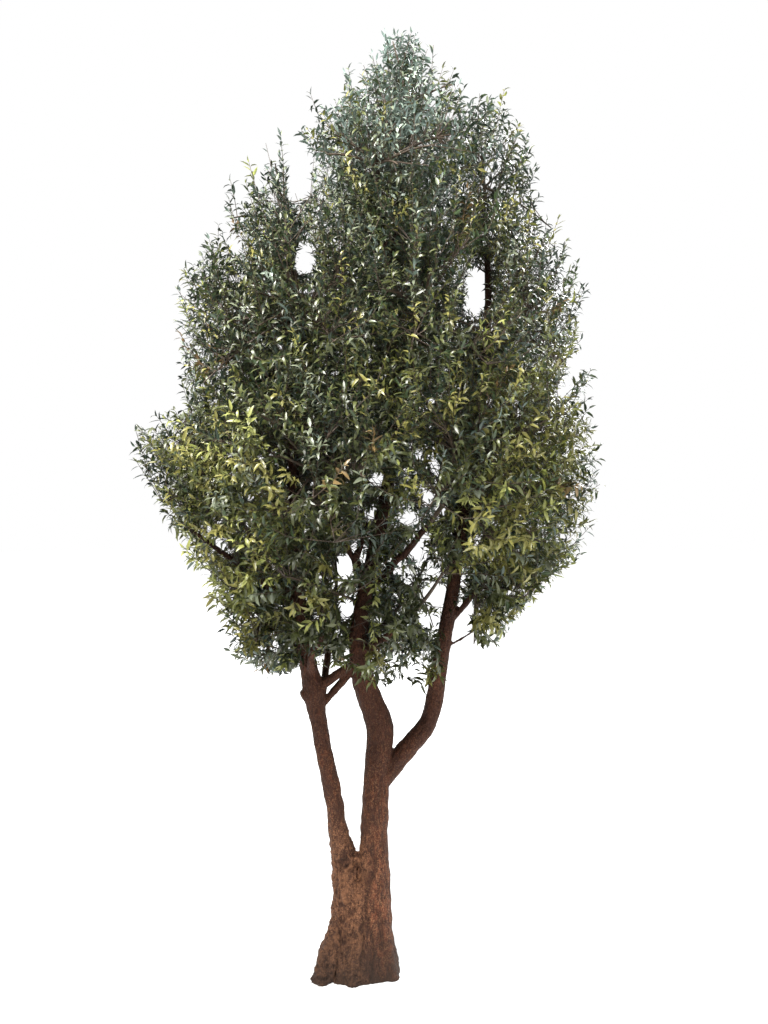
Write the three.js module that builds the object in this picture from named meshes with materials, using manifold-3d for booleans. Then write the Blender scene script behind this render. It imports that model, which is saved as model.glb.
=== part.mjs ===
// An artificial olive tree, 3.2 m tall: a flared trunk that forks at knee height, three stems that run up
// through the crown, boughs that leave the stems, and a dense egg-shaped crown of separate foliage masses.
//
// Millimetres, +Z up. The origin is the middle of the flat cut at ground level, +X is the tree's right-hand
// side and its front looks along -Y. Every limb and every mass is one closed solid and one named mesh.

import * as THREE from "three";
import { mergeVertices } from "three/addons/utils/BufferGeometryUtils.js";
import Module from "manifold-3d";

const wasm = await Module();
wasm.setup();

// ---- Driving dimensions ----

const JOINT_GAP = 0.3; // between two solids that meet
const FORK_HEIGHT = 430; // where the trunk ends and its two stems begin
const RUN_OUT = 60; // how far the trunk is drawn below the ground before it is cut off flat

const STEM_SIDES = 12;
const STEM_RINGS = 2; // rings of faces between two stations
const FLARE_HEIGHT = 260; // up to here the trunk swells into root lobes
const FLARE_LOBES = 5;
const FLARE_DEPTH = 0.1;

const BOUGH_SIDES = 5;
const BOUGH_RINGS = 3;
const BOUGH_RADII = [15, 8]; // where it leaves its stem, and at its tip
const BOUGH_SAG = 0.07; // as a share of its length
const BOUGH_END = 0.66; // how far into its mass a bough reaches, 1 at the outside and 0 at the middle
const BOUGH_STEP = 0.04; // by how much it goes deeper until its end is ENTRY_MARGIN inside the mass's space
const ENTRY_MARGIN = 20;
const SHORTEST_BOUGH = 90; // a mass that is nearer to its stem grows straight out of it

// A mass's own stem runs on to a point this far out from and above its middle, as shares of its half-extents.
const CARRIER_OUT = 0.2;
const CARRIER_UP = 0.35;

const TWIG_SIDES = 3;
const TWIG_RADIUS = 7;
const TWIG_TAPER = 0.7;
const TWIG_LIFT = 0.12; // how far a twig's middle rises, as a share of its length
const TWIG_ROOTS = [0.45, 0.95]; // where twigs leave the mass's stem
const TWIG_DEPTHS = [0.46, 0.62]; // how far below the crown's outside they end, as shares of a leaf's length
const SHORTEST_TWIG = 60;

const LEAVES_ON_TWIG = 3;
const LEAF_STEP = 34; // from one leaf to the next, back from the twig's tip
const LEAF_SIZES = [0.85, 1.15]; // shares of the length that is usual in its mass
const LEAF_TRIES = [1, 0.82, 0.66]; // shares of its length that a leaf may shrink to, to fit its space
const LEAF_WIDTH = 0.42; // as shares of the leaf's length
const LEAF_THICKNESS = 0.04;
const LEAF_ARCH = 0.1;
const LEAF_SUNK = 4; // how deep a leaf's root is sunk in its twig
const LAST_SPREAD = 0.5; // how far the last leaf turns aside from its twig, 1 for half a right angle
const SPREADS = [0.9, 1.5]; // and the others
const LEAF_RISE = 0.2;
const LEAF_TWIST = 0.6; // either way, in radians

const PASSAGE_SIDES = [6, 4]; // of the hollow that a core leaves round a stem, and round a bough
const SPACE_MARGIN = 3; // kept clear on each side of the border between two masses
const LIMB_CLEARANCE = 9; // kept clear between a limb and the twigs and leaves that pass it
const CUT_SHARE = 0.68; // a twig is left out where a border cuts off more than the rest of its way
const HALVINGS = 16; // steps in finding the crown's outside

const CORE_DEPTH = 105; // how far below the crown's outside a mass's core is
const CORE_ROUGHNESS = 0.45;
const CORE_INSET = 6; // how far a core keeps from the border with the next mass
const EDGE_ROUNDING = 7; // of a core's edges, sharper when larger

const CRUMB = 0.1; // what joining pieces may be smoothed by
const GOLDEN_ANGLE = Math.PI * (3 - Math.sqrt(5));

// ---- Stems: stations [x, y, z, radius] on a smooth line ----
// The left and the centre stem grow from the ground side by side, and the trunk is their joined lower part.

const STEMS = {
  left_stem: [
    [-24, 0, -RUN_OUT, 124],
    [-36, 0, 140, 78],
    [-52, 2, 310, 46],
    [-76, 0, 440, 32],
    [-112, -4, 650, 27],
    [-146, -10, 830, 27],
    [-160, -12, 930, 37],
    [-186, -22, 1050, 24],
    [-212, -34, 1300, 20],
    [-230, -45, 1800, 15],
    [-262, -30, 2350, 9],
  ],
  centre_stem: [
    [24, 0, -RUN_OUT, 122],
    [32, 0, 140, 77],
    [42, 0, 310, 56],
    [42, 0, 440, 43],
    [52, 4, 660, 43],
    [60, 8, 800, 46],
    [10, 4, 950, 38],
    [-10, -4, 1110, 30],
    [30, -6, 1340, 24],
    [98, 4, 1700, 19],
    [104, 12, 2250, 13],
    [136, 4, 2690, 9],
  ],
  right_stem: [
    [44, 4, 590, 30],
    [142, 12, 715, 33],
    [226, 22, 820, 28],
    [269, 34, 1030, 26],
    [312, 44, 1270, 21],
    [372, 42, 1660, 16],
    [430, 30, 2200, 11],
    [424, 16, 2430, 9],
  ],
};

// ---- Crown: its outside, as [height, left edge, right edge, half depth] ----

const CROWN = [
  [930, -350, 250, 200],
  [1000, -435, 330, 300],
  [1090, -460, 515, 380],
  [1220, -530, 610, 480],
  [1360, -600, 725, 560],
  [1490, -700, 775, 630],
  [1620, -785, 805, 665],
  [1790, -835, 805, 675],
  [1860, -650, 760, 670],
  [2000, -625, 765, 655],
  [2200, -625, 755, 620],
  [2370, -580, 735, 570],
  [2500, -495, 665, 510],
  [2640, -390, 620, 440],
  [2770, -290, 580, 360],
  [2850, -190, 525, 300],
  [2920, -135, 400, 240],
  [3000, -45, 320, 170],
  [3080, 35, 250, 110],
  [3240, 95, 185, 60],
];

// Rings of masses, from the lowest to the top: axis is where a ring's middle lies across the tree, reach how
// far its foliage comes out from there, and size a mass's half-extents: outwards, along the ring and upwards.
// A sector is [name, bearing in degrees, lift above the ring, the stem that carries it, its bough's foot].

const RINGS = [
  {
    name: "low",
    height: 1250,
    axis: 75,
    reach: { left: 655, right: 560, depth: 500 },
    size: [230, 270, 270],
    leaf: 150,
    twigs: 22,
    sectors: [
      ["left", 180, -20, "left_stem", 1010],
      ["front_left", 238, 20, "left_stem", 985],
      ["front_right", 302, 0, "centre_stem", 1060, "open"],
      ["right", 0, 30, "right_stem", 1140],
      ["back_right", 60, 10, "left_stem", 925, "open"],
      ["back_left", 122, 20, "left_stem", 850],
    ],
  },
  {
    name: "wide",
    height: 1610,
    axis: 75,
    reach: { left: 850, right: 740, depth: 680 },
    size: [300, 350, 340],
    leaf: 190,
    twigs: 36,
    sectors: [
      ["left", 180, -10, "left_stem", 1190],
      ["front_left", 244, 10, "left_stem", 1330],
      ["front_right", 306, -10, "centre_stem", 1270],
      ["right", 0, 10, "right_stem", 1490],
      ["back_right", 56, -10, "right_stem", 1390],
      ["back_left", 118, 0, "left_stem", 1400],
    ],
  },
  {
    name: "middle",
    height: 2080,
    axis: 80,
    reach: { left: 735, right: 705, depth: 640 },
    size: [300, 350, 430],
    leaf: 190,
    twigs: 40,
    sectors: [
      ["left", 176, 10, "left_stem", 1860],
      ["front_left", 232, 10, "left_stem", 1760],
      ["front_right", 288, -10, "centre_stem", 1760],
      ["right", 352, 20, "right_stem", 1880],
      ["back_right", 48, 0, "right_stem", 1800],
      ["back_left", 112, 0, "centre_stem", 1820],
    ],
  },
  {
    name: "upper",
    height: 2560,
    axis: 85,
    reach: { left: 545, right: 535, depth: 500 },
    size: [265, 310, 330],
    leaf: 170,
    twigs: 30,
    sectors: [
      ["left", 180, -110, "left_stem", 2350],
      ["front", 262, 0, "centre_stem", 2250],
      ["right", 0, 40, "right_stem", 2430],
      ["back", 82, 0, "centre_stem", 2320],
    ],
  },
  {
    name: "top",
    height: 2880,
    axis: 122,
    reach: { left: 0, right: 0, depth: 0 },
    size: [255, 250, 330],
    leaf: 150,
    twigs: 22,
    sectors: [["centre", 0, 0, "centre_stem", 2690]],
  },
];

// Straight ways through the crown that stay open: [one end, other end, radius].
const CLEARINGS = [
  [[311, -600, 2065], [453, 600, 2400], 34],
  [[311, -600, 2135], [453, 600, 2480], 34],
  [[-130, -600, 2176], [-254, 600, 2564], 28],
];

const UP = new THREE.Vector3(0, 0, 1);
const vector = (numbers) => new THREE.Vector3(...numbers);

// ---- Solids from three.js geometry ----

function solidFrom(geometry) {
  const bare = new THREE.BufferGeometry();
  bare.setAttribute("position", geometry.getAttribute("position"));
  bare.setIndex(geometry.index);
  const merged = mergeVertices(bare);
  return new wasm.Manifold(
    new wasm.Mesh({
      numProp: 3,
      vertProperties: merged.attributes.position.array,
      triVerts: new Uint32Array(merged.index.array),
    }),
  );
}

function geometryFrom(solid) {
  const mesh = solid.getMesh();
  const geometry = new THREE.BufferGeometry();
  geometry.setAttribute("position", new THREE.BufferAttribute(mesh.vertProperties, 3));
  geometry.setIndex(new THREE.BufferAttribute(mesh.triVerts, 1));
  const faceted = geometry.toNonIndexed();
  faceted.computeVertexNormals();
  return faceted;
}

// The largest body of a solid: loose scraps go, and a hollow that joining sealed is filled.
function onePiece(solid) {
  const bodies = solid.simplify(CRUMB).decompose();
  return bodies.reduce((largest, body) => (body.volume() > largest.volume() ? body : largest));
}

// ---- Limbs ----

// Lays an upright unit cylinder along a curve. side is a direction that the curve never runs in.
function bendAlong(geometry, curve, side, radiusAt) {
  const position = geometry.getAttribute("position");
  for (let i = 0; i < position.count; i += 1) {
    const share = position.getY(i) + 0.5;
    const along = curve.getTangent(share);
    const across = side.clone().addScaledVector(along, -side.dot(along)).normalize();
    const third = new THREE.Vector3().crossVectors(across, along);
    const angle = Math.atan2(position.getZ(i), position.getX(i));
    const radius = radiusAt(share, angle);
    const point = curve.getPoint(share);
    point.addScaledVector(across, position.getX(i) * radius);
    point.addScaledVector(third, position.getZ(i) * radius);
    position.setXYZ(i, point.x, point.y, point.z);
  }
  return solidFrom(geometry);
}

// The swelling of the trunk between its roots, 1 where there is none.
function rootLobes(height, angle) {
  const flare = THREE.MathUtils.clamp(1 - height / FLARE_HEIGHT, 0, 1);
  return 1 + FLARE_DEPTH * flare * Math.cos(FLARE_LOBES * angle);
}

// The middle line of a stem, longer at its tip by growth.
function stemCurve(name, growth = 0) {
  const points = STEMS[name].map(([x, y, z]) => new THREE.Vector3(x, y, z));
  const [before, tip] = points.slice(-2);
  tip.addScaledVector(tip.clone().sub(before).normalize(), growth);
  return new THREE.CatmullRomCurve3(points);
}

function stemTube(name, growth, sides = STEM_SIDES) {
  const stations = STEMS[name];
  const spans = stations.length - 1;
  const curve = stemCurve(name, growth);
  const tube = new THREE.CylinderGeometry(1, 1, 1, sides, spans * STEM_RINGS);
  return bendAlong(tube, curve, new THREE.Vector3(0, 1, 0), (share, angle) => {
    const span = Math.min(Math.floor(share * spans), spans - 1);
    const radius = THREE.MathUtils.lerp(stations[span][3], stations[span + 1][3], share * spans - span);
    return radius * rootLobes(curve.getPoint(share).z, angle) + growth;
  });
}

// Where a stem's middle is at a height.
function stemPoint(name, height) {
  const stations = STEMS[name];
  const found = stations.findIndex((station) => station[2] >= height);
  const above = found < 0 ? stations.length - 1 : Math.max(found, 1);
  const [lower, upper] = [stations[above - 1], stations[above]];
  const share = THREE.MathUtils.clamp((height - lower[2]) / (upper[2] - lower[2]), 0, 1);
  return vector(lower.slice(0, 3)).lerp(vector(upper.slice(0, 3)), share);
}

function boughCurve(mass, growth = 0) {
  const middle = mass.foot.clone().lerp(mass.entry, 0.5);
  middle.z -= BOUGH_SAG * mass.foot.distanceTo(mass.entry);
  const tip = mass.entry.clone();
  tip.addScaledVector(tip.clone().sub(middle).normalize(), growth);
  return new THREE.QuadraticBezierCurve3(mass.foot, middle, tip);
}

function boughTube(mass, growth, sides = BOUGH_SIDES) {
  const tube = new THREE.CylinderGeometry(1, 1, 1, sides, BOUGH_RINGS);
  const [thick, thin] = BOUGH_RADII;
  const side = sideOf(mass.entry.clone().sub(mass.foot));
  const radiusAt = (share) => THREE.MathUtils.lerp(thick, thin, share) + growth;
  return bendAlong(tube, boughCurve(mass, growth), side, radiusAt);
}

// A level direction square to a run.
function sideOf(run) {
  const side = new THREE.Vector3().crossVectors(UP, run);
  return side.lengthSq() > 1 ? side.normalize() : new THREE.Vector3(1, 0, 0);
}

// ---- Masses: where they are and the space that each has to itself ----

function placeMass(ring, sector, seed) {
  const [name, bearing, lift, stem, footHeight, growth] = sector;
  const angle = THREE.MathUtils.degToRad(bearing);
  const out = new THREE.Vector3(Math.cos(angle), Math.sin(angle), 0);
  const side = out.x < 0 ? ring.reach.left : ring.reach.right;
  const reach = side ? 1 / Math.hypot(out.x / side, out.y / ring.reach.depth) : ring.size[0];
  const centre = new THREE.Vector3(ring.axis, 0, ring.height + lift);
  centre.addScaledVector(out, reach - ring.size[0]);
  const axes = [out, new THREE.Vector3().crossVectors(UP, out), UP];
  const mass = { name: `foliage_${ring.name}_${name}`, stem, seed, centre, axes, size: ring.size };
  mass.leaf = ring.leaf;
  mass.twigs = ring.twigs;
  mass.open = growth === "open";
  mass.foot = stemPoint(stem, footHeight);
  mass.onTip = footHeight === STEMS[stem].at(-1)[2];
  return mass;
}

// Where a mass's bough ends: well inside its space, or at its foot when the stem itself runs that near.
function seatBough(mass) {
  const deepest = BOUGH_END / depthOf(mass, mass.foot.clone().sub(mass.centre));
  for (let share = Math.min(1, deepest); share > 0; share -= BOUGH_STEP) {
    mass.entry = mass.centre.clone().lerp(mass.foot, share);
    if (inSpace(mass, mass.entry, ENTRY_MARGIN)) break;
  }
  mass.onBough = mass.entry.distanceTo(mass.foot) > SHORTEST_BOUGH;
}

// 0 in the middle of a mass and 1 on the ellipsoid that it fills.
function depthOf(mass, offset) {
  return Math.hypot(...mass.axes.map((axis, i) => offset.dot(axis) / mass.size[i]));
}

// 0 on the crown's middle line and 1 on its outside.
function crownShare(point) {
  const above = CROWN.findIndex((station) => station[0] >= point.z);
  if (above < 1) return Infinity;
  const [lower, upper] = [CROWN[above - 1], CROWN[above]];
  const share = (point.z - lower[0]) / (upper[0] - lower[0]);
  const [left, right, depth] = [1, 2, 3].map((i) => THREE.MathUtils.lerp(lower[i], upper[i], share));
  return Math.hypot((2 * point.x - left - right) / (right - left), point.y / depth);
}

// How far it is from a mass's middle to the outside of the crown in a direction.
function outerReach(mass, direction) {
  let [inside, outside] = [0, CROWN.at(-1)[0]];
  for (let step = 0; step < HALVINGS; step += 1) {
    const middle = (inside + outside) / 2;
    if (crownShare(mass.centre.clone().addScaledVector(direction, middle)) <= 1) inside = middle;
    else outside = middle;
  }
  return inside;
}

// How far it is from a mass's middle to the nearest of its borders in a direction.
function borderReach(mass, direction) {
  const facing = mass.borders.filter(({ normal }) => direction.dot(normal) > 0);
  const room = ({ normal, offset }) => offset - mass.centre.dot(normal);
  return Math.min(...facing.map((border) => room(border) / direction.dot(border.normal)));
}

// The planes half-way between a mass and each of the others.
function bordersOf(mass, masses) {
  return masses
    .filter((other) => other !== mass)
    .map((other) => {
      const normal = other.centre.clone().sub(mass.centre).normalize();
      const middle = other.centre.clone().lerp(mass.centre, 0.5);
      return { normal, offset: middle.dot(normal) - SPACE_MARGIN };
    });
}

function inClearing(point) {
  return CLEARINGS.some(([from, to, radius]) => {
    const line = new THREE.Line3(vector(from), vector(to));
    return line.closestPointToPoint(point, true, new THREE.Vector3()).distanceTo(point) < radius;
  });
}

function clearingSolid([from, to, radius]) {
  const line = new THREE.LineCurve3(vector(from), vector(to));
  return bendAlong(new THREE.CylinderGeometry(1, 1, 1, 8), line, UP, () => radius);
}

function inSpace(mass, point, margin = 0) {
  const within = mass.borders.every(({ normal, offset }) => point.dot(normal) <= offset - margin);
  return within && crownShare(point) <= 1 && !inClearing(point);
}

// ---- What grows in a mass ----

function between([least, most], share) {
  return least + (most - least) * share;
}

function seeded(seed) {
  let state = seed;
  return () => {
    state = (Math.imul(state, 1664525) + 1013904223) >>> 0;
    return state / 2 ** 32;
  };
}

// The stem that carries a mass: on from its bough's or its stem's tip, or out of its stem's side.
function carrierCurve(mass) {
  const start = mass.onBough ? mass.entry.clone() : mass.foot.clone();
  const heading = mass.centre.clone().sub(start).normalize();
  if (mass.onBough) heading.copy(boughCurve(mass).getTangent(1));
  if (mass.onTip) heading.copy(stemCurve(mass.stem).getTangent(1));
  if (mass.onBough || mass.onTip) start.addScaledVector(heading, JOINT_GAP);
  const end = mass.centre.clone().addScaledVector(mass.axes[0], mass.size[0] * CARRIER_OUT);
  end.addScaledVector(UP, mass.size[2] * CARRIER_UP);
  const bend = start.clone().addScaledVector(heading, start.distanceTo(end) * 0.5);
  return new THREE.QuadraticBezierCurve3(start, bend, end);
}

function twigSolid(curve, radius) {
  const run = curve.getPoint(1).sub(curve.getPoint(0));
  const geometry = new THREE.CylinderGeometry(TWIG_TAPER, 1, 1, TWIG_SIDES, 2);
  return bendAlong(geometry, curve, sideOf(run), () => radius);
}

// One of the evenly spread directions from a mass's middle to its outside.
function aimOf(mass, index) {
  const height = 1 - (2 * (index + 0.5)) / mass.twigs;
  const bearing = index * GOLDEN_ANGLE + mass.seed;
  const level = Math.sqrt(1 - height * height);
  const aim = new THREE.Vector3();
  const shares = [Math.cos(bearing) * level, Math.sin(bearing) * level, height];
  shares.forEach((share, i) => aim.addScaledVector(mass.axes[i], share * mass.size[i]));
  return aim.normalize();
}

// A twig from the carrier to the outside of the mass.
function twigCurve(mass, carrier, aim, random) {
  const root = carrier.getPoint(between(TWIG_ROOTS, random()));
  const reach = Math.min(outerReach(mass, aim), borderReach(mass, aim));
  const run = mass.centre.clone().addScaledVector(aim, reach).sub(root);
  const room = run.length() - mass.leaf * between(TWIG_DEPTHS, random());
  run.setLength(Math.max(room, SHORTEST_TWIG));
  const middle = root.clone().addScaledVector(run, 0.5);
  middle.z += TWIG_LIFT * run.length();
  return new THREE.QuadraticBezierCurve3(root, middle, root.clone().add(run));
}

// A leaf is a lance-shaped octahedron, bent at its middle. Its own axes run across, through and along it.
function leafGeometry(length) {
  const geometry = new THREE.OctahedronGeometry(1);
  const position = geometry.getAttribute("position");
  for (let i = 0; i < position.count; i += 1) {
    const [x, y, z] = [position.getX(i), position.getY(i), position.getZ(i)];
    const across = (x * LEAF_WIDTH * length) / 2;
    const through = (y * LEAF_THICKNESS * length) / 2 - LEAF_ARCH * length * z * z;
    position.setXYZ(i, across, through, ((z + 1) * length) / 2);
  }
  return geometry;
}

// Where a leaf stands on its twig, as a matrix.
function leafPlace(twig, place, spin, random) {
  const along = twig.getTangent(place);
  const aside = sideOf(along).applyAxisAngle(along, spin);
  const spread = place === 1 ? LAST_SPREAD : between(SPREADS, random());
  const heading = along.clone().addScaledVector(aside, spread).addScaledVector(UP, LEAF_RISE).normalize();
  const across = new THREE.Vector3().crossVectors(along, heading).normalize();
  across.applyAxisAngle(heading, between([-LEAF_TWIST, LEAF_TWIST], random()));
  const face = new THREE.Vector3().crossVectors(heading, across);
  const root = twig.getPoint(place).addScaledVector(heading, -LEAF_SUNK);
  return new THREE.Matrix4().makeBasis(across, face, heading).setPosition(root);
}

// The largest leaf that fits its space and touches nothing else, or none.
function fittingLeaf(mass, matrix, length, others) {
  for (const share of LEAF_TRIES) {
    const leaf = leafGeometry(length * share).applyMatrix4(matrix);
    const solid = solidFrom(leaf);
    if (cornersOf(leaf).every((corner) => inSpace(mass, corner)) && !touches(solid, others)) return solid;
  }
  return null;
}

// The dense inside of a mass, a rough ball drawn out towards the crown's outside and the mass's borders.
function coreSolid(mass, random) {
  const geometry = mergeVertices(bareCopy(new THREE.IcosahedronGeometry(1, 1)));
  const position = geometry.getAttribute("position");
  for (let i = 0; i < position.count; i += 1) {
    const aim = new THREE.Vector3();
    mass.axes.forEach((axis, k) => aim.addScaledVector(axis, position.getComponent(i, k) * mass.size[k]));
    aim.normalize();
    const depth = CORE_DEPTH * between([1 - CORE_ROUGHNESS, 1 + CORE_ROUGHNESS], random());
    const outer = outerReach(mass, aim) - depth;
    const reach = roundedLeast(outer, borderReach(mass, aim) - CORE_INSET);
    const point = mass.centre.clone().addScaledVector(aim, reach);
    position.setXYZ(i, point.x, point.y, point.z);
  }
  return solidFrom(geometry);
}

// Nearly the lesser of two distances, without an edge where they cross.
function roundedLeast(a, b) {
  return (a ** -EDGE_ROUNDING + b ** -EDGE_ROUNDING) ** (-1 / EDGE_ROUNDING);
}

function bareCopy(geometry) {
  geometry.deleteAttribute("normal");
  geometry.deleteAttribute("uv");
  return geometry;
}

function growMass(mass) {
  const carrier = carrierCurve(mass);
  const wood = [twigSolid(carrier, BOUGH_RADII[1]).subtract(limbs.touching)];
  if (!mass.open) wood.push(coreSolid(mass, seeded(mass.seed)).subtract(limbs.near).subtract(clearings));
  const leaves = [];
  for (let index = 0; index < mass.twigs; index += 1) {
    const random = seeded(mass.seed * mass.twigs + index);
    const aim = aimOf(mass, index);
    const curve = twigCurve(mass, carrier, aim, random);
    const twig = twigSolid(curve, TWIG_RADIUS);
    const cut = CUT_SHARE * outerReach(mass, aim) > borderReach(mass, aim);
    const within = [0.5, 1].every((share) => inSpace(mass, curve.getPoint(share), TWIG_RADIUS));
    if (cut || !within || touches(twig, [limbs.near])) continue;
    wood.push(twig);
    for (let i = 0; i < LEAVES_ON_TWIG; i += 1) {
      const place = 1 - (i * LEAF_STEP) / curve.getLength();
      const matrix = leafPlace(curve, place, index * GOLDEN_ANGLE + i * Math.PI, random);
      const length = mass.leaf * between(LEAF_SIZES, random());
      const leaf = fittingLeaf(mass, matrix, length, [limbs.near, ...leaves]);
      if (leaf) leaves.push(leaf);
    }
  }
  return onePiece(wasm.Manifold.union([...wood, ...leaves]));
}

function touches(solid, others) {
  return others.some((other) => !other.intersect(solid).isEmpty());
}

function cornersOf(geometry) {
  const position = geometry.getAttribute("position");
  const corner = (_, i) => new THREE.Vector3().fromBufferAttribute(position, i);
  return Array.from({ length: position.count }, corner);
}

// ---- The tree ----

const bark = new THREE.MeshStandardMaterial({ color: 0x6e4a38, roughness: 0.85, metalness: 0 });
const foliage = new THREE.MeshStandardMaterial({ color: 0x4c5f3f, roughness: 0.6, metalness: 0 });

const tree = new THREE.Group();

function add(name, solid, material) {
  const mesh = new THREE.Mesh(geometryFrom(solid), material);
  mesh.name = name;
  tree.add(mesh);
  return solid;
}

const places = RINGS.flatMap((ring) => ring.sectors.map((sector) => [ring, sector]));
const masses = places.map(([ring, sector], i) => placeMass(ring, sector, i + 1));
for (const mass of masses) {
  mass.borders = bordersOf(mass, masses);
  seatBough(mass);
}
const onBoughs = masses.filter((mass) => mass.onBough);

// All limbs, each thicker and longer by growth.
function grownLimbs(growth, [stemSides, boughSides]) {
  const stems = Object.keys(STEMS).map((name) => stemTube(name, growth, stemSides));
  return wasm.Manifold.union([...stems, ...onBoughs.map((mass) => boughTube(mass, growth, boughSides))]);
}

const leftTube = stemTube("left_stem", 0);
const centreTube = stemTube("centre_stem", 0);
const centreGrown = stemTube("centre_stem", JOINT_GAP);
const above = FORK_HEIGHT + JOINT_GAP;
add(
  "trunk",
  onePiece(leftTube.add(centreTube).trimByPlane([0, 0, 1], 0).trimByPlane([0, 0, -1], -FORK_HEIGHT)),
  bark,
);
add("left_stem", onePiece(leftTube.trimByPlane([0, 0, 1], above)), bark);
add("centre_stem", onePiece(centreTube.trimByPlane([0, 0, 1], above)), bark);
add("right_stem", onePiece(stemTube("right_stem", 0).subtract(centreGrown)), bark);
for (const mass of onBoughs) {
  const parent = stemTube(mass.stem, JOINT_GAP);
  add(mass.name.replace("foliage", "bough"), onePiece(boughTube(mass, 0).subtract(parent)), bark);
}

const clearings = wasm.Manifold.union(CLEARINGS.map(clearingSolid));
const limbs = {
  touching: grownLimbs(JOINT_GAP, [STEM_SIDES, BOUGH_SIDES]),
  near: grownLimbs(LIMB_CLEARANCE, PASSAGE_SIDES),
};
for (const mass of masses) add(mass.name, growMass(mass), foliage);

export default tree;
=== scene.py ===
"""The looks of an artificial olive tree: bark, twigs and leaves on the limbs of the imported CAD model.

The tables of stems, crown and masses and the rule by which twigs grow are the CAD source's. Sprays, thin shoots
with pairs of leaves, grow on from those twigs. Growth is in millimetres, and meshes are made in metres.
"""

import math

import bmesh
import bpy
import numpy as np
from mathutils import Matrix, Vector, noise
from mathutils.kdtree import KDTree


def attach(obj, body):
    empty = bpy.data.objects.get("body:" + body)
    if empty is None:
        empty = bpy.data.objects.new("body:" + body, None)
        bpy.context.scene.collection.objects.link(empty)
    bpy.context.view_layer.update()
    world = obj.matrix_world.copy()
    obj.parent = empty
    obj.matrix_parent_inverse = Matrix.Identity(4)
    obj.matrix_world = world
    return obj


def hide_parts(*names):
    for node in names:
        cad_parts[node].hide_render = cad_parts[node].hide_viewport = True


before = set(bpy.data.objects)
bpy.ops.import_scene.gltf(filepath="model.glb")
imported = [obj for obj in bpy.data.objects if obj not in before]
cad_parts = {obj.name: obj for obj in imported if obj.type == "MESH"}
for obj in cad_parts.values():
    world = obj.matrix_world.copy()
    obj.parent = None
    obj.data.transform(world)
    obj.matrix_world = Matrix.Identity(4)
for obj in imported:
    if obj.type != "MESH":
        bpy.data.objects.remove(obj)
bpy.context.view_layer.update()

METRE = 0.001  # one millimetre
SEED = 7
NOISE_SEED = 5  # noise_vector's offsets come from it
UP = np.array([0.0, 0.0, 1.0])
GOLDEN_ANGLE = math.pi * (3 - math.sqrt(5))

# ---- From the CAD source ----

JOINT_GAP = 0.3
BOUGH_SAG = 0.07
BOUGH_END = 0.66
BOUGH_STEP = 0.04
ENTRY_MARGIN = 20
SHORTEST_BOUGH = 90
CARRIER_OUT = 0.2
CARRIER_UP = 0.35
TWIG_LIFT = 0.12
TWIG_ROOTS = (0.45, 0.95)
TWIG_DEPTHS = (0.46, 0.62)
SHORTEST_TWIG = 60
SPACE_MARGIN = 3
CUT_SHARE = 0.68
HALVINGS = 16

# Stations [x, y, z, radius] of the stems.
STEMS = {
    "left": [
        [-24, 0, -60, 124], [-36, 0, 140, 78], [-52, 2, 310, 46], [-76, 0, 440, 32], [-112, -4, 650, 27],
        [-146, -10, 830, 27], [-160, -12, 930, 37], [-186, -22, 1050, 24], [-212, -34, 1300, 20],
        [-230, -45, 1800, 15], [-262, -30, 2350, 9],
    ],
    "centre": [
        [24, 0, -60, 122], [32, 0, 140, 77], [42, 0, 310, 56], [42, 0, 440, 43], [52, 4, 660, 43],
        [60, 8, 800, 46], [10, 4, 950, 38], [-10, -4, 1110, 30], [30, -6, 1340, 24], [98, 4, 1700, 19],
        [104, 12, 2250, 13], [136, 4, 2690, 9],
    ],
    "right": [
        [44, 4, 590, 30], [142, 12, 715, 33], [226, 22, 820, 28], [269, 34, 1030, 26],
        [312, 44, 1270, 21], [372, 42, 1660, 16], [430, 30, 2200, 11], [424, 16, 2430, 9],
    ],
}

# The crown's outside, as [height, left edge, right edge, half depth].
CROWN = np.array([
    [930, -350, 250, 200], [1000, -435, 330, 300], [1090, -460, 515, 380], [1220, -530, 610, 480],
    [1360, -600, 725, 560], [1490, -700, 775, 630], [1620, -785, 805, 665], [1790, -835, 805, 675],
    [1860, -650, 760, 670], [2000, -625, 765, 655], [2200, -625, 755, 620], [2370, -580, 735, 570],
    [2500, -495, 665, 510], [2640, -390, 620, 440], [2770, -290, 580, 360], [2850, -190, 525, 300],
    [2920, -135, 400, 240], [3000, -45, 320, 170], [3080, 35, 250, 110], [3240, 95, 185, 60],
])

# Rings of masses: [height, x of the axis, reach to the left, right and front, half-extents of a mass, length of
# the source's leaves, number of twigs, sectors]. A sector is [bearing, lift, stem, height of its bough's foot].
RINGS = [
    [1250, 75, (655, 560, 500), (230, 270, 270), 150, 22, [
        [180, -20, "left", 1010], [238, 20, "left", 985], [302, 0, "centre", 1060],
        [0, 30, "right", 1140], [60, 10, "left", 925], [122, 20, "left", 850],
    ]],
    [1610, 75, (850, 740, 680), (300, 350, 340), 190, 36, [
        [180, -10, "left", 1190], [244, 10, "left", 1330], [306, -10, "centre", 1270],
        [0, 10, "right", 1490], [56, -10, "right", 1390], [118, 0, "left", 1400],
    ]],
    [2080, 80, (735, 705, 640), (300, 350, 430), 190, 40, [
        [176, 10, "left", 1860], [232, 10, "left", 1760], [288, -10, "centre", 1760],
        [352, 20, "right", 1880], [48, 0, "right", 1800], [112, 0, "centre", 1820],
    ]],
    [2560, 85, (545, 535, 500), (265, 310, 330), 170, 30, [
        [180, -110, "left", 2350], [262, 0, "centre", 2250], [0, 40, "right", 2430],
        [82, 0, "centre", 2320],
    ]],
    [2880, 122, (0, 0, 0), (255, 250, 330), 150, 22, [
        [0, 0, "centre", 2690],
    ]],
]

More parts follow.
